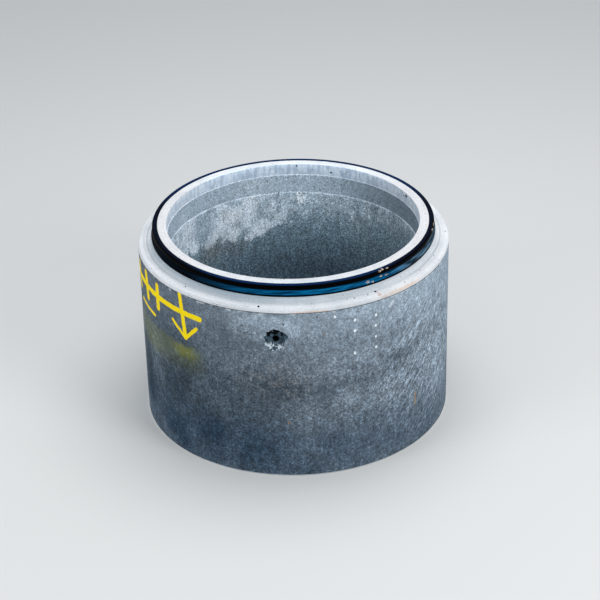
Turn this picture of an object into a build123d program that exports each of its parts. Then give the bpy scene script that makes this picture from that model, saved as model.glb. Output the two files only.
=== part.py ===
from build123d import *
import os

# Precast concrete manhole ring, nominal size 1000, standing on its socket with the spigot up,
# and the rubber seal that is stretched round the spigot. The origin is the centre of the foot.
# All sizes are in millimetres.

# Body of the ring
bore_radius = 500.0
wall = 120.0
laying_length = 750.0  # foot to shoulder, the height that one ring adds to a shaft

# Spigot, with heights measured down from the rim
spigot_height = 65.0  # rim to shoulder
spigot_wall = 41.0  # bore to the outside of the spigot
seat_depth = 45.0  # rim to the ledge that carries the seal
seat_width = 26.0
collar_run = 16.0  # width of the cone between the seal's ledge and the shoulder
shoulder_round = 18.0
rim_chamfer = 2.0

# Two shallow steps in the bore, left by the steel header and the head of the mould's core
header_step = 2.0
header_depth = 48.0
core_step = 2.0
core_depth = 130.0

# Socket in the foot, which takes the spigot and seal of the ring below
joint_gap = 16.0  # spigot to socket, filled by the squeezed seal
rim_clearance = 5.0  # rim of the ring below to the socket's ceiling
collar_clearance = 7.0  # foot of the cone of the ring below to the socket's mouth
mouth_above_seat = 18.0  # the flared mouth ends this far above the ledge of the ring below
socket_chamfer = 3.0
foot_chamfer = 6.0

# Lifting points: a dished recess with a blind hole for the pin of the lifting chain
lifting_count = 3
first_lifting_angle = -97.0
lifting_depth = 200.0  # rim to the centre of the hole
dish_radius = 45.0
dish_depth = 18.0
pin_hole_radius = 12.5
pin_hole_depth = 75.0

# Rubber seal: a wedge with a lip that lies on the ledge, a neck, and a bead beside the rim
seal_fit = 0.3  # spigot to the back of the seal
lip_setback = 1.0  # edge of the ledge to the lip
lip_height = 6.0
lip_chamfer = 2.0
neck_thickness = 14.0
neck_depth = 22.0  # rim to the top of the wedge
bead_radius = 10.0
bead_rise = 1.0  # top of the bead above the rim
bead_arc = 60.0  # degrees of the bead's round nose, above which its top slopes up to the spigot
bead_undercut = 8.0  # height of the bead's sloping underside

# Levels and radii that follow from them
rim_z = laying_length + spigot_height
seat_z = rim_z - seat_depth
outer_radius = bore_radius + wall
spigot_radius = bore_radius + spigot_wall
seat_radius = spigot_radius + seat_width
collar_radius = seat_radius + collar_run
core_radius = bore_radius + core_step
header_radius = core_radius + header_step
socket_radius = spigot_radius + joint_gap
socket_depth = spigot_height + rim_clearance
mouth_radius = collar_radius + collar_clearance
mouth_height = spigot_height - seat_depth + mouth_above_seat

os.makedirs("parts", exist_ok=True)


def corner(radius, height):
    """The corner of the section being drawn that lies at this radius and height."""
    return vertices().sort_by_distance((radius, height))[0]


# The casting is one turned profile: foot, outer wall, shoulder, cone, ledge, spigot, rim,
# stepped bore, socket ceiling and flared mouth.
with BuildPart() as shaft_ring:
    with BuildSketch(Plane.XZ):
        with BuildLine():
            Polyline(
                (mouth_radius, 0),
                (outer_radius, 0),
                (outer_radius, laying_length),
                (collar_radius, laying_length),
                (seat_radius, seat_z),
                (spigot_radius, seat_z),
                (spigot_radius, rim_z),
                (header_radius, rim_z),
                (header_radius, rim_z - header_depth),
                (core_radius, rim_z - header_depth),
                (core_radius, rim_z - core_depth),
                (bore_radius, rim_z - core_depth),
                (bore_radius, socket_depth),
                (socket_radius, socket_depth),
                (socket_radius, mouth_height),
                close=True,
            )
        make_face()
        fillet(corner(outer_radius, laying_length), shoulder_round)
        chamfer([corner(spigot_radius, rim_z), corner(header_radius, rim_z)], rim_chamfer)
        chamfer(corner(outer_radius, 0), foot_chamfer)
        chamfer(corner(bore_radius, socket_depth), socket_chamfer)
    revolve(axis=Axis.Z)

    # Each lifting point is a shallow ball-shaped dish in the wall, with the pin hole at its centre.
    ball_radius = (dish_radius**2 + dish_depth**2) / (2 * dish_depth)
    for number in range(lifting_count):
        angle = first_lifting_angle + number * 360 / lifting_count
        outward = Vector(1, 0, 0).rotate(Axis.Z, angle)
        wall_point = outward * outer_radius + Vector(0, 0, rim_z - lifting_depth)
        with Locations(Plane(origin=wall_point, z_dir=outward)):
            Hole(pin_hole_radius, depth=pin_hole_depth)
        with Locations(wall_point + outward * (ball_radius - dish_depth)):
            Sphere(ball_radius, mode=Mode.SUBTRACT)

# The seal is turned from one section: a lipped wedge under a neck, which carries the bead.
with BuildPart() as joint_seal:
    back_radius = spigot_radius + seal_fit
    lip_radius = seat_radius - lip_setback
    neck_radius = back_radius + neck_thickness
    bead_centre = (back_radius + bead_radius, rim_z + bead_rise - bead_radius)
    with BuildSketch(Plane.XZ):
        with BuildLine():
            bead = CenterArc(bead_centre, bead_radius, 0, bead_arc)
            Polyline(
                bead @ 1,
                (back_radius, rim_z + bead_rise),
                (back_radius, seat_z),
                (lip_radius, seat_z),
                (lip_radius, seat_z + lip_height),
                (neck_radius, rim_z - neck_depth),
                (neck_radius, bead_centre[1] - bead_undercut),
                bead @ 0,
            )
        make_face()
        chamfer(corner(lip_radius, seat_z), lip_chamfer)
    revolve(axis=Axis.Z)

shaft_ring.part.label = "shaft_ring"
joint_seal.part.label = "joint_seal"
export_step(shaft_ring.part, "parts/shaft_ring.step")
export_step(joint_seal.part, "parts/joint_seal.step")
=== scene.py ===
from math import pi, radians

import bmesh
import bpy
from mathutils import Matrix, Vector, noise


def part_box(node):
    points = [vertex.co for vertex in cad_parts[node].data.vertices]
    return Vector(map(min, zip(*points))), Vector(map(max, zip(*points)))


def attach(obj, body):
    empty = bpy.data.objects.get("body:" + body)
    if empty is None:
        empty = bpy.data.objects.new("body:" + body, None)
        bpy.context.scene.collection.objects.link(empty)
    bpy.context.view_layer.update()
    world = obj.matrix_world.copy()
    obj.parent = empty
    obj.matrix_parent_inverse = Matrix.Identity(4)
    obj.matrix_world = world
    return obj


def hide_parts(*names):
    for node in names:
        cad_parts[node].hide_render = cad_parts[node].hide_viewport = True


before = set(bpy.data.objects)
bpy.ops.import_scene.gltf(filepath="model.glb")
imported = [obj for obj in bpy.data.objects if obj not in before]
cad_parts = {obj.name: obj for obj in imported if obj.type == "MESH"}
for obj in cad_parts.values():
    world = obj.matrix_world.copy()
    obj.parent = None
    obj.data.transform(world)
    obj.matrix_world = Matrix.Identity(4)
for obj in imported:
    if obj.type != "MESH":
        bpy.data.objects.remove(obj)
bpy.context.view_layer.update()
mm = 0.001

# The shaft ring is one casting of almost dry concrete, shaken down between a steel jacket and a
# steel core, its top pressed by a turning steel header, and lifted out of the mould while green.
# Its pressed faces come out pale and close, its walls dragged, sandy and full of small pores.
ring_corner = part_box("shaft_ring")[1]
outer_radius = ring_corner.x
rim_height = ring_corner.z
bore_radius = 500 * mm
laying_length = 750 * mm
seat_height = rim_height - 45 * mm
spigot_radius = 541 * mm
seat_radius = 567 * mm
collar_radius = 583 * mm
header_radius = 504 * mm
header_edge = rim_height - 48 * mm
core_radius = 502 * mm
core_edge = rim_height - 130 * mm
socket_radius = 557 * mm
socket_depth = 70 * mm
mouth_radius = 590 * mm
mouth_height = 38 * mm
shoulder_round = 18 * mm
mould_joint = laying_length - shoulder_round - 1 * mm  # where the header meets the jacket
joint_groove = 1.5 * mm

section = [
    (mouth_radius, 0),
    (outer_radius, 0),
    (outer_radius, mould_joint - 2.5 * mm),
    (outer_radius - joint_groove, mould_joint - 1 * mm),
    (outer_radius, mould_joint),
    (outer_radius, laying_length),
    (collar_radius, laying_length),
    (seat_radius, seat_height),
    (spigot_radius, seat_height),
    (spigot_radius, rim_height),
    (header_radius, rim_height),
    (header_radius, header_edge),
    (core_radius, header_edge),
    (core_radius, core_edge),
    (bore_radius, core_edge),
    (bore_radius, socket_depth),
    (socket_radius, socket_depth),
    (socket_radius, mouth_height),
]
# each corner of the section, how far it is rounded, and in how many facets
rounded_corners = [
    (outer_radius, laying_length, shoulder_round, 6),
    (collar_radius, laying_length, 4 * mm, 3),
    (spigot_radius, rim_height, 2.5 * mm, 3),
    (header_radius, rim_height, 2.5 * mm, 3),
    (header_radius, header_edge, 0.8 * mm, 1),
    (core_radius, header_edge, 0.8 * mm, 1),
    (core_radius, core_edge, 0.8 * mm, 1),
    (bore_radius, core_edge, 0.8 * mm, 1),
    (bore_radius, socket_depth, 3 * mm, 2),
    (outer_radius, 0, 6 * mm, 3),
    (mouth_radius, 0, 3 * mm, 2),
    (socket_radius, mouth_height, 3 * mm, 2),
]


def turned(section, rounded_corners, row_spacing, sectors, sector_steps):
    """Draws a section, rounds its corners, divides its long sides and turns it about the axis.
    One sector is spun and then copied round, which is far quicker than one long spin."""
    body = bmesh.new()
    body.faces.new([body.verts.new((radius, 0, height)) for radius, height in section])
    for radius, height, size, facets in rounded_corners:
        place = Vector((radius, 0, height))
        corner = min(body.verts, key=lambda vert: (vert.co - place).length)
        bmesh.ops.bevel(
            body,
            geom=[corner],
            offset=size,
            segments=facets,
            profile=0.5,
            affect="VERTICES",
            material=-1,
        )
    on_axis = [side for side in body.edges if max(vert.co.x for vert in side.verts) < mm]
    bmesh.ops.delete(body, geom=body.faces[:], context="FACES_ONLY")
    bmesh.ops.delete(body, geom=on_axis, context="EDGES")
    for side in body.edges[:]:
        cuts = int(side.calc_length() / row_spacing)
        if cuts:
            bmesh.ops.subdivide_edges(body, edges=[side], cuts=cuts)
    bmesh.ops.spin(
        body,
        geom=body.verts[:] + body.edges[:],
        cent=(0, 0, 0),
        axis=(0, 0, 1),
        angle=2 * pi / sectors,
        steps=sector_steps,
    )
    sector = body.verts[:] + body.edges[:] + body.faces[:]
    for number in range(1, sectors):
        copied = bmesh.ops.duplicate(body, geom=sector)["geom"]
        bmesh.ops.rotate(
            body,
            verts=[part for part in copied if isinstance(part, bmesh.types.BMVert)],
            cent=(0, 0, 0),
            matrix=Matrix.Rotation(2 * pi * number / sectors, 3, "Z"),
        )
    bmesh.ops.remove_doubles(body, verts=body.verts[:], dist=0.05 * mm)
    bmesh.ops.recalc_face_normals(body, faces=body.faces[:])
    return body


sharp_angle = radians(35)


def as_object(body, name, materials):
    """Makes a named object of a finished bmesh, shaded smooth but for its sharp edges."""
    mesh = bpy.data.meshes.new(name)
    body.to_mesh(mesh)
    body.free()
    for material in materials:
        mesh.materials.append(material)
    mesh.shade_smooth()
    mesh.set_sharp_from_angle(angle=sharp_angle)
    piece = bpy.data.objects.new(name, mesh)
    bpy.context.scene.collection.objects.link(piece)
    return piece


def linear(hex_colour):
    """An sRGB hex colour as linear red, green, blue and alpha."""
    channels = [int(hex_colour[at:at + 2], 16) / 255 for at in (1, 3, 5)]
    return [c / 12.92 if c <= 0.04045 else ((c + 0.055) / 1.055) ** 2.4 for c in channels] + [1]


def add_node(material, kind, sockets, output=0, **settings):
    """Adds a shader node, makes its settings, sets or links its sockets, returns one output."""
    node = material.node_tree.nodes.new("ShaderNode" + kind)
    for setting, value in settings.items():
        setattr(node, setting, value)
    for socket, value in sockets.items():
        if isinstance(value, bpy.types.NodeSocket):
            material.node_tree.links.new(value, node.inputs[socket])
        else:
            node.inputs[socket].default_value = value
    return node.outputs[output]


def new_material(name, roughness, specular):
    """An empty material with its shader's constants set, and the shader itself."""
    material = bpy.data.materials.new(name)
    material.use_nodes = True
    shader = material.node_tree.nodes["Principled BSDF"]
    shader.inputs["Roughness"].default_value = roughness
    shader.inputs["Specular IOR Level"].default_value = specular
    return material, shader


def dressed(material, shader, colour, relief, depth):
    """Links a colour, and a relief of this depth in metres, to the shader."""
    bump = add_node(material, "Bump", {"Height": relief, "Distance": depth, "Strength": 1.0})
    material.node_tree.links.new(colour, shader.inputs["Base Color"])
    material.node_tree.links.new(bump, shader.inputs["Normal"])


smooth_step = {"interpolation_type": "SMOOTHSTEP"}
colour_mix = {"output": 2, "data_type": "RGBA"}


def unrolled(material, place, facing=-1.0):
    """The angle from the front, or from the back when facing is 1, in radians, the height, and the
    two laid flat in metres."""
    split = add_node(material, "SeparateXYZ", {"Vector": place}).node.outputs
    ahead = add_node(material, "Math", {0: split["Y"], 1: facing}, operation="MULTIPLY")
    angle = add_node(material, "Math", {0: split["X"], 1: ahead}, operation="ARCTAN2")
    along = add_node(material, "Math", {0: angle, 1: outer_radius}, operation="MULTIPLY")
    return angle, split["Z"], add_node(material, "CombineXYZ", {"X": along, "Y": split["Z"]})


def ragged(material, place, flat_place, fineness, reach):
    """The unrolled place, shifted this way and that by up to half the reach, which makes the edges
    of marks ragged. The fineness is the number of shifts in a metre."""
    noisy = {"Vector": place, "Scale": fineness, "Detail": 4.0}
    noisy = add_node(material, "TexNoise", noisy, output="Color")
    shift = add_node(material, "VectorMath", {0: noisy, 1: (0.5, 0.5, 0.5)}, operation="SUBTRACT")
    shift = add_node(material, "VectorMath", {0: shift, "Scale": reach}, operation="SCALE")
    return add_node(material, "VectorMath", {0: flat_place, 1: shift}, operation="ADD")


def near(material, value, level, reach, core, strength=1.0):
    """How near a value is to a level: full within the core and nothing beyond the reach."""
    off = add_node(material, "Math", {0: value, 1: level}, operation="SUBTRACT")
    off = add_node(material, "Math", {0: off}, operation="ABSOLUTE")
    edge = {"Value": off, "From Min": reach, "From Max": core, "To Max": strength}
    return add_node(material, "MapRange", edge, **smooth_step)


def faded(material, share, steps):
    """A share times soft steps. Each step is a value, the levels where it starts and ends and,
    where they aren't 0 and 1, what it counts for at its start and at its end."""
    for step in steps:
        edge = dict(zip(("Value", "From Min", "From Max", "To Min", "To Max"), step))
        edge = add_node(material, "MapRange", edge, **smooth_step)
        share = add_node(material, "Math", {0: share, 1: edge}, operation="MULTIPLY")
    return share


def pinholes(material, place, spacing, share, width, core):
    """Pinholes left by trapped air, one in a share of the cells of a pattern: 1 inside them."""
    cell = add_node(material, "TexVoronoi", {"Vector": place, "Scale": 1 / spacing}).node.outputs
    chance = add_node(material, "SeparateColor", {"Color": cell["Color"]})
    chosen = add_node(material, "Math", {0: chance, 1: share}, operation="LESS_THAN")
    edge = {"Value": cell["Distance"], "From Min": width / spacing, "From Max": core / spacing}
    holes = add_node(material, "MapRange", edge, **smooth_step)
    return add_node(material, "Math", {0: chosen, 1: holes}, operation="MULTIPLY")


def stain(material, flat_place, angle, height, half_width, half_height, softness):
    """A soft oval on the unrolled ring, at an angle from the front in degrees: 1 in its middle."""
    centre = (radians(angle) * outer_radius, height, 0)
    reach = (half_width, half_height, 1)
    offset = add_node(material, "VectorMath", {0: flat_place, 1: centre}, operation="SUBTRACT")
    offset = add_node(material, "VectorMath", {0: offset, 1: reach}, operation="DIVIDE")
    far = add_node(material, "VectorMath", {0: offset}, output="Value", operation="LENGTH")
    edge = {"Value": far, "From Min": 1 + softness, "From Max": 1 - softness}
    return add_node(material, "MapRange", edge, **smooth_step)


def height_curve(material, angle, points):
    """A height in metres that follows (degrees, millimetres) points from -90 to 90 degrees."""
    tallest = 800
    turn = {"Value": angle, "From Min": -pi / 2, "From Max": pi / 2}
    share = add_node(material, "MapRange", turn)
    curve = add_node(material, "FloatCurve", {"Value": share})
    line = curve.node.mapping.curves[0]
    spots = [((degrees + 90) / 180, level / tallest) for degrees, level in points]
    line.points[0].location = spots[0]
    line.points[1].location = spots[-1]
    for spot in spots[1:-1]:
        line.points.new(*spot)
    curve.node.mapping.update()
    return add_node(material, "Math", {0: curve, 1: tallest * mm}, operation="MULTIPLY")


# Wall concrete: almost dry mix dragged up a steel jacket. It is sandy and matt, pale where it
# has dried and blue-grey to brown-grey where it is damp or smeared. Its colour also holds painted
# light and shade: it is paler at the top and on the right, and darker on the left and towards the foot.
wall, wall_shader = new_material("dry_cast_wall_concrete", 0.92, 0.25)
place = add_node(wall, "TexCoord", {}, output="Object")
front_angle, height, flat_place = unrolled(wall, place)
ragged_place = ragged(wall, place, flat_place, 45.0, 50 * mm)
crisp_place = ragged(wall, place, flat_place, 45.0, 9 * mm)
stretched = add_node(wall, "VectorMath", {0: place, 1: (1, 1, 7)}, operation="DIVIDE")
clouds = add_node(wall, "TexNoise", {"Vector": place, "Scale": 1 / (130 * mm), "Detail": 5.0})
lumps = add_node(wall, "TexNoise", {"Vector": place, "Scale": 1 / (26 * mm), "Detail": 4.0})
sand = add_node(wall, "TexNoise", {"Vector": place, "Scale": 1 / (10 * mm), "Detail": 5.0})
specks = add_node(wall, "TexNoise", {"Vector": place, "Scale": 1 / (4.5 * mm), "Detail": 1.0})
drag = add_node(wall, "TexNoise", {"Vector": stretched, "Scale": 1 / (11 * mm), "Detail": 3.0})
cloudiness = {"Value": clouds, "From Min": 0.25, "From Max": 0.75, "To Min": 0.27, "To Max": 0.43}
paleness_and_painted_light = add_node(wall, "MapRange", cloudiness)
# angle from the front, height, half width, half height, softness, and how much paler it is: a
# stain with a hard edge is drawn more ragged. Besides real stains, the paler ones at the top and
# right and the darker ones at the left, at its edge and at the foot are painted light and shade
wall_stains_and_painted_light = [
    (-11, 662 * mm, 140 * mm, 56 * mm, 0.14, 0.17),
    (-1, 668 * mm, 60 * mm, 52 * mm, 0.5, 0.09),
    (6, 700 * mm, 200 * mm, 60 * mm, 0.5, 0.08),
    (20, 695 * mm, 320 * mm, 90 * mm, 0.6, 0.19),
    (70, 640 * mm, 380 * mm, 230 * mm, 0.7, 0.42),
    (14, 500 * mm, 200 * mm, 110 * mm, 0.8, 0.05),
    (64, 300 * mm, 330 * mm, 140 * mm, 0.7, 0.10),
    (-10, 440 * mm, 240 * mm, 120 * mm, 0.8, -0.08),
    (-34, 340 * mm, 280 * mm, 190 * mm, 0.8, -0.11),
    (-62, 420 * mm, 300 * mm, 420 * mm, 0.6, -0.14),
    (-38, 130 * mm, 400 * mm, 210 * mm, 0.8, -0.17),
    (43, 458 * mm, 70 * mm, 34 * mm, 0.8, -0.12),
    (16, 60 * mm, 560 * mm, 180 * mm, 0.7, -0.16),
    (26, 300 * mm, 240 * mm, 90 * mm, 0.8, -0.05),
    (145, 80 * mm, 480 * mm, 190 * mm, 0.8, -0.13),
    (-145, 80 * mm, 480 * mm, 190 * mm, 0.8, -0.13),
    (28, 712 * mm, 160 * mm, 28 * mm, 0.6, 0.17),
    (-18, 708 * mm, 80 * mm, 28 * mm, 0.6, 0.20),
    (-15, 340 * mm, 90 * mm, 120 * mm, 0.8, -0.12),
    (19, 350 * mm, 48 * mm, 42 * mm, 0.8, 0.20),
    (34, 300 * mm, 110 * mm, 50 * mm, 0.8, 0.10),
    (40, 575 * mm, 50 * mm, 42 * mm, 0.8, -0.22),
    (50, 350 * mm, 52 * mm, 45 * mm, 0.8, -0.12),
    (-73, 260 * mm, 62 * mm, 180 * mm, 0.8, -0.20),
    (66, 250 * mm, 95 * mm, 110 * mm, 0.8, 0.12),
    (-24, 590 * mm, 100 * mm, 62 * mm, 0.8, -0.10),
    (-46, 480 * mm, 110 * mm, 85 * mm, 0.8, -0.13),
]
for angle, level, half_width, half_height, softness, change in wall_stains_and_painted_light:
    edged_place = ragged_place if softness < 0.5 else crisp_place
    mark = stain(wall, edged_place, angle, level, half_width, half_height, softness)
    paleness_and_painted_light = add_node(wall, "Math", {0: mark, 1: change, 2: paleness_and_painted_light}, operation="MULTIPLY_ADD")

# The tide mark: a dark damp band that rises in a wave from the front to the right side.
tide_points = [
    (-90, 370), (-14, 440), (0, 400), (12, 385), (18, 396), (26, 415), (34, 434), (43, 458), (60, 490),
    (90, 510)
]
tide_height = height_curve(wall, front_angle, tide_points)
ragged_height = add_node(wall, "SeparateXYZ", {"Vector": ragged_place}, output="Y")
tide_ends = [(front_angle, radians(-22), radians(4)), (front_angle, radians(105), radians(60))]
tide_change = -0.15
in_tide = near(wall, ragged_height, tide_height, 85 * mm, 0)
in_tide = faded(wall, in_tide, tide_ends)
paleness_and_painted_light = add_node(wall, "Math", {0: in_tide, 1: tide_change, 2: paleness_and_painted_light}, operation="MULTIPLY_ADD")
# Darker towards the foot: partly damp, partly painted shade of the ground.
damp_and_shaded_foot = {"Value": height, "From Min": 330 * mm, "From Max": 120 * mm}
damp_and_shaded_foot = add_node(wall, "MapRange", damp_and_shaded_foot, **smooth_step)
damp_and_shaded, darker_part, dry_and_lit = linear("#34414C"), linear("#24394B"), linear("#A5B4C1")
dark_colour = add_node(wall, "Mix", {0: damp_and_shaded_foot, 6: damp_and_shaded, 7: darker_part}, **colour_mix)
wall_colour = add_node(wall, "Mix", {0: paleness_and_painted_light, 6: dark_colour, 7: dry_and_lit}, **colour_mix)

# Soil has been smeared on the front and has stained the concrete brown.
smear = stain(wall, ragged_place, -6, 440 * mm, 150 * mm, 90 * mm, 0.8)
smear = faded(wall, smear, [(lumps, 0.4, 0.65, 0, 0.4)])
soil = linear("#67645F")
wall_colour = add_node(wall, "Mix", {0: smear, 6: wall_colour, 7: soil}, **colour_mix)

# The grain of the mix: lumps, sand, single specks and the drag of the jacket together make the
# colour lighter or darker in proportion, more so towards the foot.
grit = add_node(wall, "Math", {0: sand, 1: specks}, operation="ADD")
for pattern, weight in ((lumps, 0.62), (drag, 0.3)):
    grit = add_node(wall, "Math", {0: pattern, 1: weight, 2: grit}, operation="MULTIPLY_ADD")
contrast = {"Value": grit, "From Min": 0.96, "From Max": 1.96, "To Min": -0.85, "To Max": 0.85}
contrast = add_node(wall, "MapRange", contrast)

# On the right the jacket was twisted as it was drawn off, and its drag slants up to the right.
slant = {"Vector": flat_place, "Rotation": (0, 0, radians(-42))}
slant = add_node(wall, "Mapping", slant)
slant = add_node(wall, "VectorMath", {0: slant, 1: (4.5, 1, 1)}, operation="DIVIDE")
slant = add_node(wall, "TexNoise", {"Vector": slant, "Scale": 1 / (11 * mm), "Detail": 3.0})
slanting = {"Value": slant, "From Min": 0.3, "From Max": 0.7, "To Min": -0.42, "To Max": 0.42}
slanting = add_node(wall, "MapRange", slanting)
twisted = stain(wall, flat_place, 56, 360 * mm, 300 * mm, 330 * mm, 0.5)
contrast = add_node(wall, "Math", {0: slanting, 1: twisted, 2: contrast}, operation="MULTIPLY_ADD")
coarseness = {"Value": height, "From Min": 700 * mm, "From Max": 430 * mm}
coarseness = add_node(wall, "MapRange", {**coarseness, "To Min": 0.85, "To Max": 1.4})
contrast = add_node(wall, "Math", {0: contrast, 1: coarseness}, operation="MULTIPLY")
roughcast = add_node(wall, "Math", {0: contrast}, operation="EXPONENT")
wall_colour = add_node(wall, "VectorMath", {0: wall_colour, "Scale": roughcast}, operation="SCALE")

# Open pores about 5 mm across, one in every other cell of a 26 mm pattern. Their dark colour is painted
# shade inside them.
pores = pinholes(wall, place, 26 * mm, 0.5, 3.4 * mm, 1.8 * mm)

# Laitance has crept over the joint of header and jacket in a ragged pale fringe, and a thin line
# of grime has settled in the joint.
below_joint = add_node(wall, "Math", {0: mould_joint, 1: height}, operation="SUBTRACT")
creep = {"Value": lumps, "From Min": 0.46, "From Max": 0.66, "To Max": 15 * mm}
creep = add_node(wall, "MapRange", creep)
within = add_node(wall, "Math", {0: creep, 1: below_joint}, operation="SUBTRACT")
fringe = {"Value": within, "From Min": 0, "From Max": 2 * mm, "To Max": 0.6}
fringe = add_node(wall, "MapRange", fringe, **smooth_step)
joint_grime = {"Value": below_joint, "From Min": 6 * mm, "From Max": 1 * mm, "To Max": 0.8}
joint_grime = add_node(wall, "MapRange", joint_grime, **smooth_step)
for share, colour in ((pores, "#2B353E"), (fringe, "#C3CCD2"), (joint_grime, "#3B444B")):
    over = linear(colour)
    wall_colour = add_node(wall, "Mix", {0: share, 6: wall_colour, 7: over}, **colour_mix)

# Specks of paint and lime, small hollows whose dark colour is painted shade, and rust spots: their
# colour and radius, and their angles from the front with their heights in mm.
small_marks = [
    ("#F4F8F8", 4.6 * mm, [(21.2, 672), (21.2, 625), (21.1, 528), (29.4, 670), (29.4, 626)]),
    ("#F4F8F8", 4.0 * mm, [(29.4, 578), (29.4, 530), (13.9, 701)]),
    ("#C9D2DA", 5.0 * mm, [(35.9, 695), (36.6, 702), (35.3, 688)]),
    ("#4B5761", 3.6 * mm, [(-19.6, 640), (-18.0, 634), (-16.9, 639), (-15.4, 631)]),
    ("#4B5761", 2.8 * mm, [(-13.4, 634), (-22.0, 652), (-16.2, 632), (-20.4, 646), (-18.8, 666)]),
    ("#93806C", 5.0 * mm, [(48.4, 240), (48.5, 230), (48.3, 220), (48.5, 210), (48.5, 200), (48.4, 190)]),
    ("#86705F", 3.2 * mm, [(-2.8, 252), (-3.2, 244), (9.8, 628)]),
]
for colour, radius, places in small_marks:
    for angle, level in places:
        mark = stain(wall, crisp_place, angle, level * mm, radius, 1.3 * radius, 0.35)
        over = linear(colour)
        wall_colour = add_node(wall, "Mix", {0: mark, 6: wall_colour, 7: over}, **colour_mix)


# Site marks: a level line, ticks and an arrow, sprayed on in yellow marking paint. The paint is
# matt and thins out over the hollows between sand grains. A haze of overspray lies under the marks,
# with a clear upper edge, and fades out downwards.
def stroke(material, flat_place, start, end, width):
    """A straight stroke from one point to another, each an angle in degrees and a height in mm."""
    points = [Vector((radians(angle) * outer_radius, level * mm, 0)) for angle, level in (start, end)]
    run = points[1] - points[0]
    offset = add_node(material, "VectorMath", {0: flat_place, 1: points[0]}, operation="SUBTRACT")
    along = {0: offset, 1: run / run.length_squared}
    share = add_node(material, "VectorMath", along, output="Value", operation="DOT_PRODUCT")
    share = add_node(material, "Clamp", {"Value": share})
    nearest = add_node(material, "VectorMath", {0: run, "Scale": share}, operation="SCALE")
    gap = {0: offset, 1: nearest}
    away = add_node(material, "VectorMath", gap, output="Value", operation="DISTANCE")
    edge = {"Value": away, "From Min": 0.6 * width, "From Max": 0.38 * width}
    return add_node(material, "MapRange", edge, **smooth_step)


# start and end of each line, each an angle from the front and a height in mm, and its width
site_marks = [
    ((-84, 655), (-36, 648), 24 * mm),
    ((-79, 700), (-78, 606), 32 * mm),
    ((-69, 704), (-68, 602), 30 * mm),
    ((-59, 698), (-59, 600), 26 * mm),
    ((-45, 728), (-43, 542), 20 * mm),
    ((-49.5, 596), (-43, 540), 15 * mm),
    ((-37.5, 600), (-43, 540), 15 * mm),
    ((-76, 556), (-62, 552), 14 * mm),
]
paint = 0.0
for start, end, width in site_marks:
    line = stroke(wall, crisp_place, start, end, width)
    paint = add_node(wall, "Math", {0: paint, 1: line}, operation="MAXIMUM")
paint = faded(wall, paint, [(sand, 0.3, 0.45, 0.75)])
haze_edges = [(ragged_height, 515 * mm, 496 * mm), (ragged_height, 350 * mm, 480 * mm, 0, 0.18)]
haze = stain(wall, flat_place, -60, 450 * mm, 255 * mm, 400 * mm, 0.2)
haze = faded(wall, haze, haze_edges)
# where the haze is thickest: angle from the front, height, half width, half height and thickness
thick_haze = [(-44, 476 * mm, 56 * mm, 24 * mm, 0.3), (-66, 420 * mm, 90 * mm, 36 * mm, 0.12)]
for angle, level, half_width, half_height, thickness in thick_haze:
    spot = stain(wall, ragged_place, angle, level, half_width, half_height, 0.8)
    haze = add_node(wall, "Math", {0: spot, 1: thickness, 2: haze}, operation="MULTIPLY_ADD")
for share, colour in ((haze, "#93962F"), (paint, "#FFE000")):
    over = linear(colour)
    wall_colour = add_node(wall, "Mix", {0: share, 6: wall_colour, 7: over}, **colour_mix)
wall_relief = add_node(wall, "Math", {0: grit, 1: pores}, operation="SUBTRACT")
dressed(wall, wall_shader, wall_colour, wall_relief, 1.0 * mm)


# Pressed concrete: the steel header trowels the rim, spigot and shoulder, and draws the cement
# to the face, so it is pale, close and finely ringed.
def from_axis(material, place):
    """The distance of a place from the ring's axis."""
    across = add_node(material, "VectorMath", {0: place, 1: (1, 1, 0)}, operation="MULTIPLY")
    return add_node(material, "VectorMath", {0: across}, output="Value", operation="LENGTH")


def ringed(material, place, radius, height, drift):
    """The place in the ring's section, which drifts slowly on the way round: for turned marks."""
    slow = add_node(material, "VectorMath", {0: place, "Scale": drift}, operation="SCALE")
    in_section = add_node(material, "CombineXYZ", {"X": radius, "Y": height})
    return add_node(material, "VectorMath", {0: in_section, 1: slow}, operation="ADD")


pressed, pressed_shader = new_material("header_pressed_concrete", 0.8, 0.35)
place = add_node(pressed, "TexCoord", {}, output="Object")
front_angle, height, flat_place = unrolled(pressed, place)
radius = from_axis(pressed, place)
stretched = add_node(pressed, "VectorMath", {0: place, 1: (1, 1, 9)}, operation="DIVIDE")
ring_place = ringed(pressed, place, radius, height, 0.03)
clouds = add_node(pressed, "TexNoise", {"Vector": place, "Scale": 1 / (90 * mm), "Detail": 5.0})
sand = add_node(pressed, "TexNoise", {"Vector": place, "Scale": 1 / (7 * mm), "Detail": 3.0})
rings = add_node(pressed, "TexNoise", {"Vector": ring_place, "Scale": 1 / (5 * mm), "Detail": 2.0})
runs = add_node(pressed, "TexNoise", {"Vector": stretched, "Scale": 1 / (14 * mm), "Detail": 3.0})
cloudiness = {"Value": clouds, "From Min": 0.3, "From Max": 0.7}
cloudiness = add_node(pressed, "MapRange", cloudiness, **smooth_step)
dull, pale = linear("#DADFE3"), linear("#EEF1F3")
pressed_colour = add_node(pressed, "Mix", {0: cloudiness, 6: dull, 7: pale}, **colour_mix)

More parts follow.
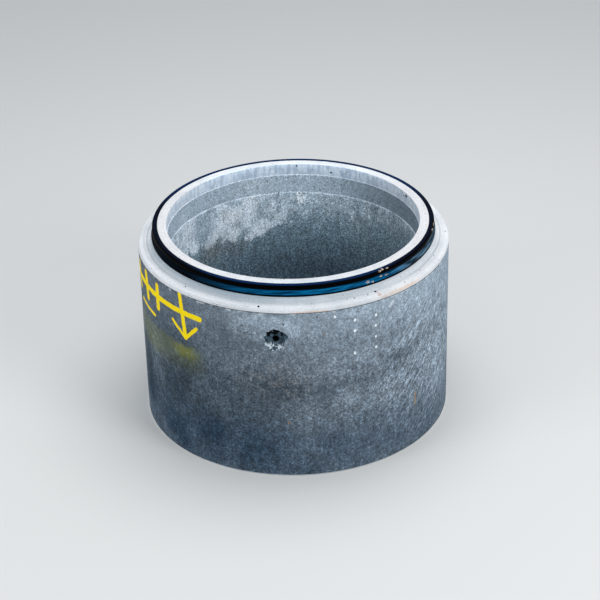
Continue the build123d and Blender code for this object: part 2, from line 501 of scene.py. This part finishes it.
# The cone under the seal and the shoulder beside it are greyer, most of all at the front left and
# next to the seal: partly damp, partly painted shade where the cone meets the seal. A dark crease
# marks where the shoulder begins.
sideways = add_node(pressed, "Math", {0: front_angle}, operation="ABSOLUTE")
damp_and_shade_edges = [
    (radius, collar_radius + 19 * mm, seat_radius - 3 * mm),
    (radius, spigot_radius + 4 * mm, spigot_radius + 9 * mm),
    (front_angle, radians(-35), radians(12), 1.0, 0.42),
    (sideways, radians(92), radians(70)),
]
damp_and_seal_shade = faded(pressed, 1.0, damp_and_shade_edges)
crease = near(pressed, radius, collar_radius + 1 * mm, 5 * mm, 1.5 * mm)
crease = faded(pressed, crease, [(sideways, radians(30), radians(70), 0.1, 0.45)])
for share, colour in ((damp_and_seal_shade, "#8EA3B0"), (crease, "#70808C")):
    over = linear(colour)
    pressed_colour = add_node(pressed, "Mix", {0: share, 6: pressed_colour, 7: over}, **colour_mix)

# A film of damp dust takes up to 18 percent of the light from the front.
dulling = near(pressed, front_angle, radians(10), radians(80), radians(20), -0.18)
dulled = add_node(pressed, "Math", {0: dulling, 1: 1.0}, operation="ADD")
pressed_colour = add_node(pressed, "VectorMath", {0: pressed_colour, "Scale": dulled}, operation="SCALE")

# The inside of the rim is streaked where the header was drawn off. Its cool tint stands in for the
# cool light in its shade, and it is painted paler at the top and on the left and darker on the
# right, as painted light and shade.
inside = {"Value": radius, "From Min": header_radius + 2 * mm, "From Max": header_radius + 1 * mm}
inside = add_node(pressed, "MapRange", inside, **smooth_step)
streaked = {"Value": runs, "From Min": 0.35, "From Max": 0.65}
streaked = add_node(pressed, "MapRange", streaked)
cool, cool_pale, cool_damp = linear("#D0E1F1"), linear("#E4F0FC"), linear("#9DB2C6")
inner_colour = add_node(pressed, "Mix", {0: streaked, 6: cool, 7: cool_pale}, **colour_mix)
tall_place = add_node(pressed, "VectorMath", {0: place, 1: (1, 1, 2.5)}, operation="DIVIDE")
patches = add_node(pressed, "TexNoise", {"Vector": tall_place, "Scale": 1 / (16 * mm), "Detail": 5.0})
patchy = {"Value": patches, "From Min": 0.4, "From Max": 0.64, "To Max": 0.6}
patchy = add_node(pressed, "MapRange", patchy, **smooth_step)
inner_colour = add_node(pressed, "Mix", {0: patchy, 6: inner_colour, 7: cool_damp}, **colour_mix)
rightness = add_node(pressed, "Math", {0: front_angle}, operation="SINE")
painted_light_steps = [
    {"Value": rightness, "From Min": -1.0, "From Max": 1.0, "To Min": 1.14, "To Max": 0.86},
    {"Value": height, "From Min": header_edge, "From Max": rim_height, "To Min": 0.9, "To Max": 1.1},
]
for paling in painted_light_steps:
    paler = add_node(pressed, "MapRange", paling)
    inner_colour = add_node(pressed, "VectorMath", {0: inner_colour, "Scale": paler}, operation="SCALE")

# Grit under the header has dragged dark scratches down the back: start and end, as for the site
# marks, and width.
drag_marks = [
    ((108, 806), (112, 772), 3.0 * mm),
    ((111, 811), (116, 780), 2.4 * mm),
    ((116, 808), (120, 784), 2.4 * mm),
    ((152, 800), (156, 778), 2.0 * mm),
]
drag_colour, drag_strength = linear("#62727F"), 0.7
for start, end, width in drag_marks:
    mark = stroke(pressed, flat_place, start, end, width)
    mark = add_node(pressed, "Math", {0: mark, 1: drag_strength}, operation="MULTIPLY")
    inner_colour = add_node(pressed, "Mix", {0: mark, 6: inner_colour, 7: drag_colour}, **colour_mix)
pressed_colour = add_node(pressed, "Mix", {0: inside, 6: pressed_colour, 7: inner_colour}, **colour_mix)

# Two thin dark lines come and go round the foot of the shoulder at the left, each with a height
# and a strength, and rust has dried on its front.
shoulder_lines = [(laying_length - 14 * mm, 0.75), (laying_length - 7.5 * mm, 0.45)]
line_edges = [(clouds, 0.42, 0.6), (front_angle, radians(-8), radians(-30))]
line_colour = linear("#70808C")
for level, strength in shoulder_lines:
    line = near(pressed, height, level, 2.4 * mm, 0.6 * mm, strength)
    line = faded(pressed, line, line_edges)
    pressed_colour = add_node(pressed, "Mix", {0: line, 6: pressed_colour, 7: line_colour}, **colour_mix)
# angle from the front, height, half width, half height, softness, strength and colour
rust_marks = [
    (41, 740 * mm, 95 * mm, 6 * mm, 0.5, 0.75, "#DDB48C"),
    (6, 733 * mm, 70 * mm, 3.5 * mm, 0.5, 0.7, "#D9A983"),
    (31.5, 747 * mm, 9 * mm, 3 * mm, 0.5, 0.8, "#A8715A"),
    (32.8, 735 * mm, 16 * mm, 5 * mm, 0.5, 0.7, "#C08A6A"),
]
for angle, level, half_width, half_height, softness, strength, colour in rust_marks:
    mark = stain(pressed, flat_place, angle, level, half_width, half_height, softness)
    mark = faded(pressed, mark, [(rings, 0.38, 0.6, 0, strength)])
    over = linear(colour)
    pressed_colour = add_node(pressed, "Mix", {0: mark, 6: pressed_colour, 7: over}, **colour_mix)

# Dust has settled on both sides of the rim and shoulder, most on the rim. Pinholes about 4 mm
# across are shallower and paler than in the wall; their grey is painted shade inside them.
dust_edges = [
    (sideways, radians(10), radians(60), 0, 0.65),
    (sideways, radians(150), radians(115)),
    (height, rim_height - 8 * mm, rim_height - 3 * mm, 0.45),
]
dust = faded(pressed, 1.0, dust_edges)
pores = pinholes(pressed, place, 20 * mm, 0.4, 2.8 * mm, 1.2 * mm)
for share, colour in ((dust, "#D3D1D0"), (pores, "#6F7A83")):
    over = linear(colour)
    pressed_colour = add_node(pressed, "Mix", {0: share, 6: pressed_colour, 7: over}, **colour_mix)
grit = add_node(pressed, "Math", {0: sand, 1: rings}, operation="ADD")
contrast = {"Value": grit, "From Min": 0.6, "From Max": 1.4, "To Min": 0.84, "To Max": 1.16}
evenness = add_node(pressed, "MapRange", contrast)
pressed_colour = add_node(pressed, "VectorMath", {0: pressed_colour, "Scale": evenness}, operation="SCALE")
dressed(pressed, pressed_shader, pressed_colour, grit, 0.4 * mm)

# Bore concrete: the vibrating core leaves the inside smoother than the wall, with a film of lime
# that has run down from the upper edge and stops in a ragged line. The side angle is the angle
# from the back, or from the front in the front half, so both halves are alike and meet.
bore, bore_shader = new_material("core_formed_bore_concrete", 0.85, 0.3)
place = add_node(bore, "TexCoord", {}, output="Object")
back_angle, height, flat_place = unrolled(bore, place, facing=1.0)
sideways = add_node(bore, "Math", {0: back_angle}, operation="SINE")
side_angle = add_node(bore, "Math", {0: sideways}, operation="ARCSINE")
stretched = add_node(bore, "VectorMath", {0: place, 1: (1, 1, 5)}, operation="DIVIDE")
patches = add_node(bore, "TexNoise", {"Vector": place, "Scale": 1 / (50 * mm), "Detail": 8.0})
sand = add_node(bore, "TexNoise", {"Vector": place, "Scale": 1 / (9 * mm), "Detail": 4.0})
specks = add_node(bore, "TexNoise", {"Vector": place, "Scale": 1 / (4.5 * mm), "Detail": 1.0})
runs = add_node(bore, "TexNoise", {"Vector": stretched, "Scale": 1 / (18 * mm), "Detail": 5.0})
film_points = [
    (-90, 600), (-55, 530), (-27, 495), (-13, 512), (-4, 548), (4, 578), (18, 595), (32, 585),
    (50, 620), (90, 640)
]
film_edge = height_curve(bore, side_angle, film_points)
above_film = add_node(bore, "Math", {0: height, 1: film_edge}, operation="SUBTRACT")
for pattern, reach in ((patches, 30 * mm), (runs, 12 * mm)):
    edge = {"Value": pattern, "From Min": 0.25, "From Max": 0.75, "To Min": -reach, "To Max": reach}
    edge = add_node(bore, "MapRange", edge)
    above_film = add_node(bore, "Math", {0: above_film, 1: edge}, operation="ADD")
fading = {"Value": side_angle, "From Min": radians(-14), "From Max": radians(16)}
fading = add_node(bore, "MapRange", {**fading, "To Min": 14 * mm, "To Max": 75 * mm}, **smooth_step)
above_film = add_node(bore, "Math", {0: above_film, 1: fading}, operation="DIVIDE")
below_step = {"Value": height, "From Min": core_edge + 1 * mm, "From Max": core_edge - 2 * mm}
below_step = add_node(bore, "MapRange", below_step, **smooth_step)
thinner_right = (side_angle, radians(-20), radians(4), 1.0, 0.52)
film_edges = [(above_film, -1.0, 1.0), (patches, 0.34, 0.62, 0.3), thinner_right]
film = faded(bore, below_step, film_edges)

# Below the film the concrete is bare, and painted darker towards the foot as shade deep in the bore.
# The band above the core step is paler. Everything darkens to the right: painted shade.
depth = {"Value": height, "From Min": 300 * mm, "From Max": 600 * mm}
depth = add_node(bore, "MapRange", depth, **smooth_step)
low, high = linear("#566A78"), linear("#8096A2")
bare_colour = add_node(bore, "Mix", {0: depth, 6: low, 7: high}, **colour_mix)
rightward = {"Value": side_angle, "From Min": radians(-5), "From Max": radians(75)}
rightward = add_node(bore, "MapRange", rightward, **smooth_step)
band_left, band_right = linear("#ADBCC8"), linear("#8799A5")
band_colour = add_node(bore, "Mix", {0: rightward, 6: band_left, 7: band_right}, **colour_mix)
lime = linear("#DCE8F2")
bore_colour = add_node(bore, "Mix", {0: below_step, 6: band_colour, 7: bare_colour}, **colour_mix)
bore_colour = add_node(bore, "Mix", {0: film, 6: bore_colour, 7: lime}, **colour_mix)
shade = {"Value": side_angle, "From Min": radians(5), "From Max": radians(60), "To Min": 1.0}
shade = add_node(bore, "MapRange", {**shade, "To Max": 0.68}, **smooth_step)
bore_colour = add_node(bore, "VectorMath", {0: bore_colour, "Scale": shade}, operation="SCALE")

# Single marks: runs and spots of lime, and bare or brown damp patches at the left.
ragged_place = ragged(bore, place, flat_place, 60.0, 34 * mm)
# angle from the back, height, half width, half height, softness, strength and colour
bore_marks = [
    (-49, 622 * mm, 78 * mm, 72 * mm, 0.45, 0.6, "#8397A6"),
    (-64, 640 * mm, 50 * mm, 80 * mm, 0.7, 0.5, "#CBD7DF"),
    (-31.5, 617 * mm, 52 * mm, 36 * mm, 0.6, 0.55, "#E6EEF4"),
    (-20, 660 * mm, 60 * mm, 22 * mm, 0.6, 0.4, "#E6EEF4"),
    (-20, 725 * mm, 90 * mm, 50 * mm, 0.8, 0.35, "#CBD7DF"),
    (4, 657 * mm, 26 * mm, 24 * mm, 0.5, 0.6, "#E6EEF4"),
    (-37.5, 618 * mm, 5 * mm, 44 * mm, 0.4, 0.7, "#E6EEF4"),
    (29.9, 600 * mm, 8 * mm, 25 * mm, 0.4, 0.6, "#DCE6EC"),
    (39.6, 616 * mm, 6 * mm, 10 * mm, 0.5, 0.6, "#DCE6EC"),
    (45.3, 623 * mm, 6 * mm, 11 * mm, 0.5, 0.6, "#DCE6EC"),
    (52.2, 630 * mm, 6 * mm, 10 * mm, 0.5, 0.5, "#DCE6EC"),
    (33, 527 * mm, 80 * mm, 30 * mm, 0.9, 0.2, "#A9B9C2"),
    (-43, 485 * mm, 80 * mm, 42 * mm, 0.9, 0.55, "#66645F"),
    (-29, 465 * mm, 60 * mm, 36 * mm, 0.9, 0.35, "#66645F"),
]
for angle, level, half_width, half_height, softness, strength, colour in bore_marks:
    mark = stain(bore, ragged_place, angle, level, half_width, half_height, softness)
    mark = add_node(bore, "Math", {0: mark, 1: strength}, operation="MULTIPLY")
    over = linear(colour)
    bore_colour = add_node(bore, "Mix", {0: mark, 6: bore_colour, 7: over}, **colour_mix)

# Lime has crept out of both steps in the bore and dried in white lines, the lower one broken.
wobble = {"Value": sand, "From Min": 0.3, "From Max": 0.7, "To Min": -3 * mm, "To Max": 3 * mm}
wobble = add_node(bore, "MapRange", wobble)
wobbling = add_node(bore, "Math", {0: height, 1: wobble}, operation="ADD")
core_line = near(bore, wobbling, core_edge - 1 * mm, 4.5 * mm, 1.5 * mm)
core_line = faded(bore, core_line, [(patches, 0.35, 0.55, 0.35), thinner_right])
below_header = add_node(bore, "Math", {0: header_edge, 1: height}, operation="SUBTRACT")
header_line_edges = [(below_header, 4 * mm, 2 * mm), (side_angle, radians(50), radians(5), 0.3, 0.9)]
header_line = faded(bore, 1.0, header_line_edges)
lime_line = add_node(bore, "Math", {0: core_line, 1: header_line}, operation="MAXIMUM")
bore_colour = add_node(bore, "Mix", {0: lime_line, 6: bore_colour, 7: lime}, **colour_mix)

# Open pits about 7 mm across, and the grain, which shows most where the film is thin.
pit_strength = 0.75
pits = pinholes(bore, place, 22 * mm, 0.45, 5.0 * mm, 2.2 * mm)
pits = add_node(bore, "Math", {0: pits, 1: pit_strength}, operation="MULTIPLY")
pit_shadow = linear("#465A69")
bore_colour = add_node(bore, "Mix", {0: pits, 6: bore_colour, 7: pit_shadow}, **colour_mix)
grit = add_node(bore, "Math", {0: sand, 1: specks}, operation="ADD")
runs_weight = 0.4
grit = add_node(bore, "Math", {0: runs, 1: runs_weight, 2: grit}, operation="MULTIPLY_ADD")
contrast = {"Value": grit, "From Min": 0.7, "From Max": 1.7, "To Min": -1.0, "To Max": 1.0}
contrast = add_node(bore, "MapRange", contrast)
bareness = add_node(bore, "Math", {0: below_step, 1: film}, operation="SUBTRACT")
bareness = add_node(bore, "MapRange", {"Value": bareness, "To Min": 0.65, "To Max": 1.25})
contrast = add_node(bore, "Math", {0: contrast, 1: bareness}, operation="MULTIPLY")
evenness = add_node(bore, "Math", {0: contrast}, operation="EXPONENT")
bore_colour = add_node(bore, "VectorMath", {0: bore_colour, "Scale": evenness}, operation="SCALE")
dressed(bore, bore_shader, bore_colour, grit, 0.5 * mm)

# Broken concrete: the rough faces in the lifting recesses, with painted shade in their undercut
# upper half and deep inside, near black where deepest, and pale crushed stone below.
broken, broken_shader = new_material("broken_concrete", 0.95, 0.2)
place = add_node(broken, "TexCoord", {}, output="Object")
height = add_node(broken, "SeparateXYZ", {"Vector": place}, output="Z")
lifting_height = rim_height - 200 * mm
chips = add_node(broken, "TexNoise", {"Vector": place, "Scale": 1 / (14 * mm), "Detail": 3.0})
radius = from_axis(broken, place)
sunk = add_node(broken, "Math", {0: outer_radius, 1: radius}, operation="SUBTRACT")
rise = add_node(broken, "Math", {0: height, 1: lifting_height}, operation="SUBTRACT")
# How deep a face lies in painted shade: higher above the pin hole and further sunk is darker.
shadedness = add_node(broken, "Math", {0: rise, 1: 0.5, 2: sunk}, operation="MULTIPLY_ADD")
jagged = {"Value": chips, "From Min": 0.3, "From Max": 0.7, "To Min": -12 * mm, "To Max": 12 * mm}
jagged = add_node(broken, "MapRange", jagged)
shadedness = add_node(broken, "Math", {0: shadedness, 1: jagged}, operation="ADD")
darker_part = {"Value": shadedness, "From Min": -1 * mm, "From Max": 3 * mm}
darker_part = add_node(broken, "MapRange", darker_part, **smooth_step)
deepest_shade = {"Value": shadedness, "From Min": 23 * mm, "From Max": 29 * mm}
deepest_shade = add_node(broken, "MapRange", deepest_shade, **smooth_step)
stones = add_node(broken, "MapRange", {"Value": chips, "From Min": 0.45, "From Max": 0.54})
matrix_colour, stone_colour = linear("#3F525E"), linear("#CFDCE2")
lit = add_node(broken, "Mix", {0: stones, 6: matrix_colour, 7: stone_colour}, **colour_mix)
teal, black = linear("#52697A"), linear("#030506")
mottled = {"Value": chips, "From Min": 0.38, "From Max": 0.62, "To Max": 0.75}
mottled = add_node(broken, "MapRange", mottled)
shadowed = add_node(broken, "Mix", {0: mottled, 6: teal, 7: black}, **colour_mix)
shadowed = add_node(broken, "Mix", {0: deepest_shade, 6: shadowed, 7: black}, **colour_mix)
broken_colour = add_node(broken, "Mix", {0: darker_part, 6: lit, 7: shadowed}, **colour_mix)
dressed(broken, broken_shader, broken_colour, chips, 3 * mm)

# The pin holes and the open pores get a near black colour: painted shade for the dark inside them.
hole_shade, hole_shade_shader = new_material("painted_hole_shade", 1.0, 0.0)
hole_shade_shader.inputs["Base Color"].default_value = linear("#07090A")

# Each face has the finish of the part of the mould that formed it. The faces swell by up to half a
# millimetre over a hand's breadth and half as much over a finger's breadth, but not where the seal
# or the ground lies against them.
ring_body = turned(section, rounded_corners, row_spacing=12 * mm, sectors=14, sector_steps=30)
ring_materials = [wall, pressed, bore, broken, hole_shade]
for face in ring_body.faces:
    middle = face.calc_center_median()
    radius = middle.xy.length
    finish = pressed
    if radius > outer_radius - 3 * mm and 8 * mm < middle.z < mould_joint - 0.2 * mm:
        finish = wall
    elif radius < core_radius + 1 * mm and socket_depth < middle.z < header_edge:
        finish = bore
    face.material_index = ring_materials.index(finish)
for vert in ring_body.verts:
    radius = vert.co.xy.length
    level = vert.co.z
    beside_seal = radius > spigot_radius - 2 * mm and seat_height - 2 * mm < level < rim_height - 2 * mm
    underneath = level < 1 * mm
    if not beside_seal and not underneath:
        swell = 0.5 * noise.noise(vert.co * 7) + 0.25 * noise.noise(vert.co * 38)
        vert.co += vert.normal * swell * mm
ring = as_object(ring_body, "cast_ring", ring_materials)

# The lifting recesses: rough dishes round blind pin holes, chipped out wider by the lifting pins.
# Their faces have lumps of up to 9 and 6 mm, and their upper part is undercut.
lifting_angles = (-97, 23, 143)
hole_radius = 12.5 * mm
hole_depth = 75 * mm
recess_section = [
    (0, -hole_depth),
    (hole_radius, -hole_depth),
    (hole_radius, -9 * mm),
    (20 * mm, -10 * mm),
    (34 * mm, -9 * mm),
    (43 * mm, 0),
    (48 * mm, 12 * mm),
    (0, 12 * mm),
]


def add_body(whole, part):
    """Moves one finished bmesh into another."""
    carrier = bpy.data.meshes.new("carrier")
    part.to_mesh(carrier)
    part.free()
    whole.from_mesh(carrier)
    bpy.data.meshes.remove(carrier)


recess_materials = [broken, hole_shade]
recesses = bmesh.new()
for number, angle in enumerate(lifting_angles):
    recess = turned(recess_section, [], row_spacing=3 * mm, sectors=12, sector_steps=5)
    # The deep hole, and the lip right over it, take the painted hole shade.
    for face in recess.faces:
        middle = face.calc_center_median()
        over_hole = middle.xy.length < hole_radius + 3 * mm and middle.y > 3 * mm
        if middle.z < -14 * mm or over_hole and middle.z < 0:
            face.material_index = recess_materials.index(hole_shade)
    for vert in recess.verts:
        if vert.co.xy.length > 16 * mm and vert.co.z < 8 * mm:
            seeded = vert.co + Vector((0, 0, number))
            lump = 9 * noise.noise(seeded * 45) + 6 * noise.noise(seeded * 110)
            undercut = min(1, max(0, vert.co.y / (24 * mm)))
            vert.co += vert.normal * lump * mm
            vert.co.z -= 9 * undercut * mm
    outward = Vector((1, 0, 0))
    outward.rotate(Matrix.Rotation(radians(angle), 3, "Z"))
    facing = outward.to_track_quat("Z", "Y").to_matrix().to_4x4()
    wall_point = outward * outer_radius + Vector((0, 0, lifting_height))
    bmesh.ops.transform(recess, matrix=Matrix.Translation(wall_point) @ facing, verts=recess.verts[:])
    add_body(recesses, recess)
recess_cutter = as_object(recesses, "recess_cutter", recess_materials)


def cut_away(piece, cutter):
    """Cuts the cutter out of the piece, leaves the cutter's material there and removes the cutter."""
    cutting = piece.modifiers.new("cut", "BOOLEAN")
    cutting.operation = "DIFFERENCE"
    cutting.solver = "EXACT"
    cutting.material_mode = "TRANSFER"
    cutting.object = cutter
    cut_piece = piece.evaluated_get(bpy.context.evaluated_depsgraph_get())
    cut_mesh = bpy.data.meshes.new_from_object(cut_piece)
    piece.modifiers.clear()
    piece.data = cut_mesh
    piece.data.set_sharp_from_angle(angle=sharp_angle)
    bpy.data.objects.remove(cutter)


cut_away(ring, recess_cutter)

# Open pores and knocks: small lumpy hollows that show on the pale pressed faces. Each has an angle
# from the front and, in mm, a distance from the axis, a height and its size across.
hollows = [
    (-12.8, 608, 749, 9),
    (19.5, 590, 750, 5),
    (22.2, 592, 750, 7),
    (27.6, 594, 750, 6),
    (31.2, 588, 750, 10),
    (54.8, 592, 750, 6),
    (68.0, 588, 750, 5),
    (44.0, 604, 750, 5),
    (-44.0, 596, 750, 6),
    (-5.6, 504, 815, 7),
    (-4.3, 508, 815, 5),
    (-7.6, 504, 814, 6),
    (11.0, 504, 815, 5),
    (177.8, 504, 806, 8),
    (161.0, 504, 784, 9),
    (113.4, 504, 801, 14),
    (115.5, 504, 795, 9),
    (-150.0, 603, 750, 8),
    (124.0, 598, 750, 7),
    (88.0, 606, 749, 6),
]
knocks = bmesh.new()
for number, (angle, radius, height, across) in enumerate(hollows):
    knock = bmesh.new()
    bmesh.ops.create_icosphere(knock, subdivisions=2, radius=0.5 * across * mm)
    for vert in knock.verts:
        vert.co *= 1 + 0.35 * noise.noise(vert.co * 300 + Vector((0, 0, 7 * number)))
    centre = Matrix.Rotation(radians(angle), 3, "Z") @ Vector((0, -radius * mm, height * mm))
    bmesh.ops.translate(knock, vec=centre, verts=knock.verts[:])
    add_body(knocks, knock)
# The hollows are lined with the painted hole shade.
cut_away(ring, as_object(knocks, "knock_cutter", [hole_shade]))
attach(ring, "root")
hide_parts("shaft_ring")

# The joint seal is a black rubber profile, moulded in a hoop and stretched round the spigot so
# that it grips, with a lipped wedge on the ledge and a rolling bead beside the rim.
seal_back = spigot_radius + 0.3 * mm
seal_lip = seat_radius - 1 * mm
bead_face = seal_back + 20 * mm
bead_top = rim_height + 1 * mm
neck_radius = seal_back + 14 * mm
lip_top = seat_height + 6 * mm
neck_foot = rim_height - 22 * mm
neck_top = rim_height - 18 * mm
seal_section = [
    (seal_back, seat_height),
    (seal_lip, seat_height),
    (seal_lip, lip_top),
    (neck_radius, neck_foot),
    (neck_radius, neck_top),
    (bead_face, neck_top),
    (bead_face, bead_top),
    (seal_back, bead_top),
]
seal_corners = [
    (seal_lip, seat_height, 2 * mm, 3),
    (seal_lip, lip_top, 2 * mm, 3),
    (neck_radius, neck_foot, 1.5 * mm, 2),
    (bead_face, neck_top, 5.5 * mm, 5),
    (bead_face, bead_top, 9 * mm, 7),
    (seal_back, bead_top, 2 * mm, 2),
]
rubber, rubber_shader = new_material("moulded_seal_rubber", 0.5, 0.02)
place = add_node(rubber, "TexCoord", {}, output="Object")
front_angle, height, flat_place = unrolled(rubber, place)
ring_place = ringed(rubber, place, from_axis(rubber, place), height, 0.08)
streaks = add_node(rubber, "TexNoise", {"Vector": ring_place, "Scale": 1 / (7 * mm), "Detail": 3.0})
grain = add_node(rubber, "TexNoise", {"Vector": place, "Scale": 1 / (6 * mm), "Detail": 3.0})

# The wedge carries a painted blue reflection, strongest at the front right and fading out to the
# left, which turns to a painted grey reflection in streaks further right.
reflection_edges = [
    (height, neck_foot + 2 * mm, neck_foot - 4 * mm),
    (height, lip_top, lip_top + 3 * mm),
    (front_angle, radians(-50), radians(6), 0.03),
    (front_angle, radians(125), radians(45), 0.12),
]
blue_reflection = faded(rubber, 1.0, reflection_edges)
streaked = {"Value": streaks, "From Min": 0.36, "From Max": 0.64}
streaked = add_node(rubber, "MapRange", streaked, **smooth_step)
dark_reflection_blue, reflection_blue = linear("#002C4C"), linear("#046EA0")
wedge_colour = add_node(rubber, "Mix", {0: streaked, 6: dark_reflection_blue, 7: reflection_blue}, **colour_mix)
grey_right = {"Value": front_angle, "From Min": radians(36), "From Max": radians(56)}
grey_right = add_node(rubber, "MapRange", grey_right, **smooth_step)
right_reflection_dark, right_highlight = linear("#0A1A26"), linear("#5D8199")
right_reflection = add_node(rubber, "Mix", {0: streaked, 6: right_reflection_dark, 7: right_highlight}, **colour_mix)
wedge_colour = add_node(rubber, "Mix", {0: grey_right, 6: wedge_colour, 7: right_reflection}, **colour_mix)
black = linear("#010102")
seal_colour = add_node(rubber, "Mix", {0: blue_reflection, 6: black, 7: wedge_colour}, **colour_mix)

# The top of the bead has a painted navy reflection, which is missing at both sides.
on_bead = {"Value": height, "From Min": rim_height - 1.5 * mm, "From Max": rim_height + 0.5 * mm}
on_bead = add_node(rubber, "MapRange", on_bead, **smooth_step)
sideways = add_node(rubber, "Math", {0: front_angle}, operation="ABSOLUTE")
sheen_free_sides = near(rubber, sideways, radians(76), radians(50), radians(24), 0.85)
sheen = add_node(rubber, "Math", {0: on_bead, 1: sheen_free_sides}, operation="SUBTRACT")
navy = linear("#05244C")
seal_colour = add_node(rubber, "Mix", {0: sheen, 6: seal_colour, 7: navy}, **colour_mix)

# angle from the front, height, half width and half height of crumbs of dried soil
seal_crumbs = [
    (29.5, 784 * mm, 9 * mm, 4 * mm),
    (31.5, 780 * mm, 7 * mm, 3 * mm),
    (36.0, 788 * mm, 8 * mm, 2 * mm),
    (38.6, 786 * mm, 10 * mm, 2 * mm),
    (35.2, 812 * mm, 8 * mm, 3 * mm),
    (36.8, 814 * mm, 6 * mm, 2 * mm),
    (39.0, 813 * mm, 7 * mm, 2 * mm),
    (77.0, 812 * mm, 12 * mm, 2 * mm),
    (82.0, 812 * mm, 16 * mm, 2 * mm),
]
crumb_colour = linear("#C9B7A4")
crumbly = add_node(rubber, "MapRange", {"Value": grain, "From Min": 0.42, "From Max": 0.56})
for angle, level, half_width, half_height in seal_crumbs:
    crumb = stain(rubber, flat_place, angle, level, half_width, half_height, 0.3)
    crumb = add_node(rubber, "Math", {0: crumb, 1: crumbly}, operation="MULTIPLY")
    seal_colour = add_node(rubber, "Mix", {0: crumb, 6: seal_colour, 7: crumb_colour}, **colour_mix)
dressed(rubber, rubber_shader, seal_colour, grain, 0.1 * mm)

seal_body = turned(seal_section, seal_corners, row_spacing=4 * mm, sectors=12, sector_steps=25)
seal = as_object(seal_body, "rubber_seal", [rubber])
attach(seal, "root")
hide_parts("joint_seal")

# The floor is a plain pale studio floor, wide enough to fill every view.
floor_paint, floor_shader = new_material("pale_floor_paint", 0.9, 0.2)
floor_shader.inputs["Base Color"].default_value = linear("#DDDDDA")
floor_body = bmesh.new()
bmesh.ops.create_grid(floor_body, x_segments=1, y_segments=1, size=30)
floor = as_object(floor_body, "studio_floor", [floor_paint])


# The light is one broad soft lamp overhead, two smaller ones further off at the front right and
# front left, and a pale surround.
def soft_lamp(name, place, target, size, energy):
    """Adds a round soft lamp that points at the target."""
    light = bpy.data.lights.new(name, "AREA")
    light.shape = "DISK"
    light.size = size
    light.energy = energy
    lamp = bpy.data.objects.new(name, light)
    lamp.location = place
    lamp.rotation_euler = (Vector(target) - Vector(place)).to_track_quat("-Z", "Y").to_euler()
    bpy.context.scene.collection.objects.link(lamp)


ring_middle = (0, 0, 0.5)
soft_lamp("overhead_lamp", (0.6, 0.6, 5.0), ring_middle, 4.0, 97)
soft_lamp("front_right_lamp", (4.2, -4.2, 3.8), ring_middle, 3.0, 145)
soft_lamp("front_left_lamp", (-4.8, -3.0, 3.0), ring_middle, 3.0, 80)

world = bpy.data.worlds.new("studio_surround")
world.use_nodes = True
surround = world.node_tree.nodes["Background"]
surround.inputs["Color"].default_value = linear("#EEF5FF")
surround.inputs["Strength"].default_value = 0.6
bpy.context.scene.world = world

# The camera stands where the photograph was taken from, 6.7 m away and 3.4 m above the rim.
camera_place = Matrix.Translation((0.0200, -6.6962, 4.1933))
camera_tilt = Matrix.Rotation(radians(60.729), 4, "X")
camera_roll = Matrix.Rotation(radians(-1.4271), 4, "Z")
camera_data = bpy.data.cameras.new("camera")
camera_data.sensor_width = 36
camera_data.lens = 112.97
camera_data.clip_end = 100
camera = bpy.data.objects.new("camera", camera_data)
camera.matrix_world = camera_place @ camera_tilt @ camera_roll
bpy.context.scene.collection.objects.link(camera)
bpy.context.scene.camera = camera
bpy.context.scene.view_settings.view_transform = "Standard"
